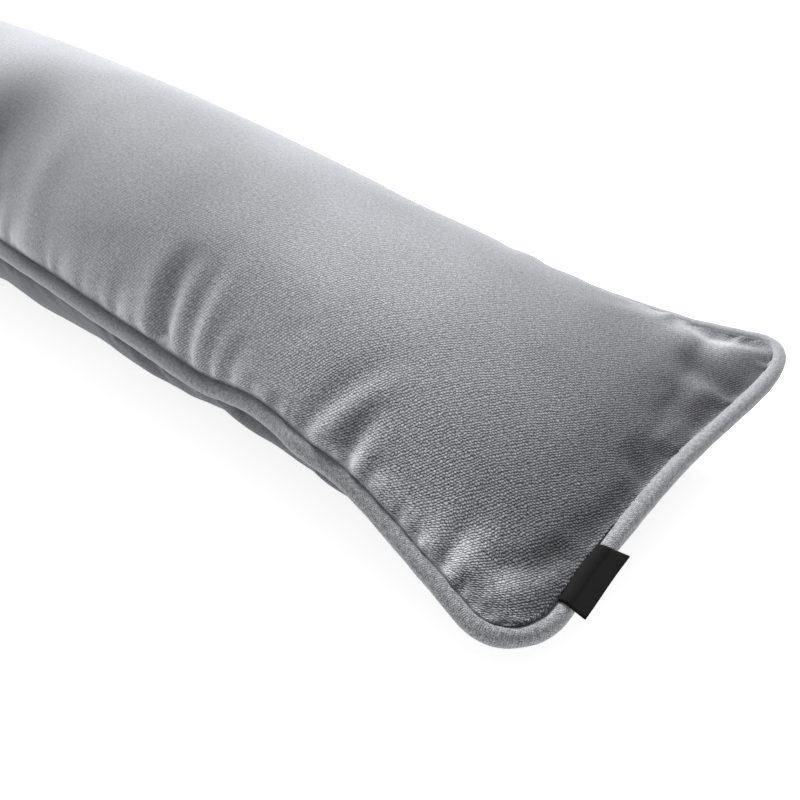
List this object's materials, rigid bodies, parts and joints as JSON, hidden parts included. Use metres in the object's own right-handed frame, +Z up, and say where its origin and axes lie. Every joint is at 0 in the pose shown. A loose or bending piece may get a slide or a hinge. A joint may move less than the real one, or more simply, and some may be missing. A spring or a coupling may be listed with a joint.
{
  "type": "draught excluder",
  "caption": "Long filled velvet cushion with a piped seam all round and a plain black tab in one end, laid at the foot of a door to stop draughts.",
  "frame": {"origin": "on the surface that it rests on, under the middle of its length and width", "axes": "+X along the length towards the end with the tab, -Y the near long side, +Z up"},
  "size_m": [0.7922, 0.193, 0.107],
  "materials": {
    "velvet": "matte short-pile velvet, mid grey",
    "piping_velvet": "matte velvet strip over a cord, light grey",
    "tab_tape": "woven black tape, bare"
  },
  "bodies": {
    "root": {"cushion": "velvet", "piping": "piping_velvet", "label_tab": "tab_tape"}
  },
  "joints": []
}
